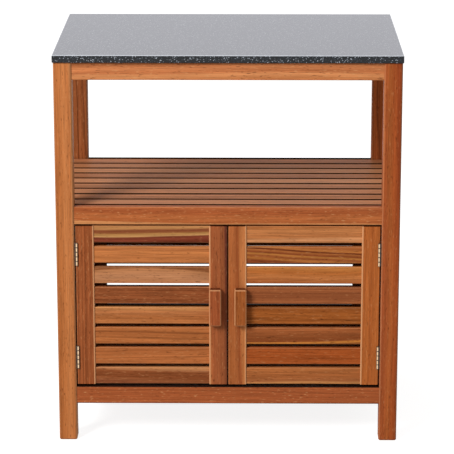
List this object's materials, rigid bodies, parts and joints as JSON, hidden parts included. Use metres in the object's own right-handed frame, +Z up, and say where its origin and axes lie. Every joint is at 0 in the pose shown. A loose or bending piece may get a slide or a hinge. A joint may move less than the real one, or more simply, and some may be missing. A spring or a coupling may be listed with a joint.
{
  "type": "outdoor kitchen module",
  "caption": "Free-standing outdoor kitchen cabinet of oiled acacia with a dark granite worktop, an open bay over a slatted shelf, and a cupboard with hinged slatted doors.",
  "frame": {"origin": "on the ground, under the middle of the whole object's box", "axes": "+Z up, the doors face -Y, +X to the right seen from the front"},
  "size_m": [0.8, 0.571, 0.925],
  "materials": {
    "oiled_acacia": "oiled, satin",
    "polished_granite": "polished",
    "hinge_brass": "satin",
    "strike_steel": "zinc plated",
    "catch_plastic": "moulded"
  },
  "bodies": {
    "frame": {"granite_worktop": "polished_granite", "leg_front_left": "oiled_acacia", "leg_front_right": "oiled_acacia", "leg_back_left": "oiled_acacia", "leg_back_right": "oiled_acacia", "top_rail_front": "oiled_acacia", "top_rail_back": "oiled_acacia", "top_rail_left": "oiled_acacia", "top_rail_right": "oiled_acacia", "shelf_rail_front": "oiled_acacia", "shelf_rail_back": "oiled_acacia", "shelf_rail_left": "oiled_acacia", "shelf_rail_right": "oiled_acacia", "bottom_rail_front": "oiled_acacia", "bottom_rail_back": "oiled_acacia", "bottom_rail_left": "oiled_acacia", "bottom_rail_right": "oiled_acacia", "shelf_slat_1": "oiled_acacia", "shelf_slat_2": "oiled_acacia", "shelf_slat_3": "oiled_acacia", "shelf_slat_4": "oiled_acacia", "shelf_slat_5": "oiled_acacia", "shelf_slat_6": "oiled_acacia", "shelf_slat_7": "oiled_acacia", "shelf_slat_8": "oiled_acacia", "shelf_slat_9": "oiled_acacia", "floor_slats": "oiled_acacia", "back_panel_stiles": "oiled_acacia", "back_panel_slats": "oiled_acacia", "side_panel_stiles": "oiled_acacia", "side_panel_slats": "oiled_acacia", "hinge_frame_leaves": "hinge_brass", "hinge_pins": "hinge_brass", "magnetic_catches": "catch_plastic"},
    "left_door": {"left_door_hinge_stile": "oiled_acacia", "left_door_meeting_stile": "oiled_acacia", "left_door_slat_1": "oiled_acacia", "left_door_slat_2": "oiled_acacia", "left_door_slat_3": "oiled_acacia", "left_door_slat_4": "oiled_acacia", "left_door_slat_5": "oiled_acacia", "left_door_slat_6": "oiled_acacia", "left_door_slat_7": "oiled_acacia", "left_door_slat_8": "oiled_acacia", "left_door_handle": "oiled_acacia", "left_door_strike_plate": "strike_steel", "left_door_hinge_leaves": "hinge_brass"},
    "right_door": {"right_door_hinge_stile": "oiled_acacia", "right_door_meeting_stile": "oiled_acacia", "right_door_slat_1": "oiled_acacia", "right_door_slat_2": "oiled_acacia", "right_door_slat_3": "oiled_acacia", "right_door_slat_4": "oiled_acacia", "right_door_slat_5": "oiled_acacia", "right_door_slat_6": "oiled_acacia", "right_door_slat_7": "oiled_acacia", "right_door_slat_8": "oiled_acacia", "right_door_handle": "oiled_acacia", "right_door_strike_plate": "strike_steel", "right_door_hinge_leaves": "hinge_brass"}
  },
  "joints": [
    {"name": "left_door_hinge", "type": "hinge", "parent": "frame", "child": "left_door", "pos_m": [-0.3507, -0.2683, 0.33], "axis": [0, 0, -1], "range_deg": [0, 170]},
    {"name": "right_door_hinge", "type": "hinge", "parent": "frame", "child": "right_door", "pos_m": [0.3507, -0.2683, 0.33], "axis": [0, 0, 1], "range_deg": [0, 170]}
  ]
}
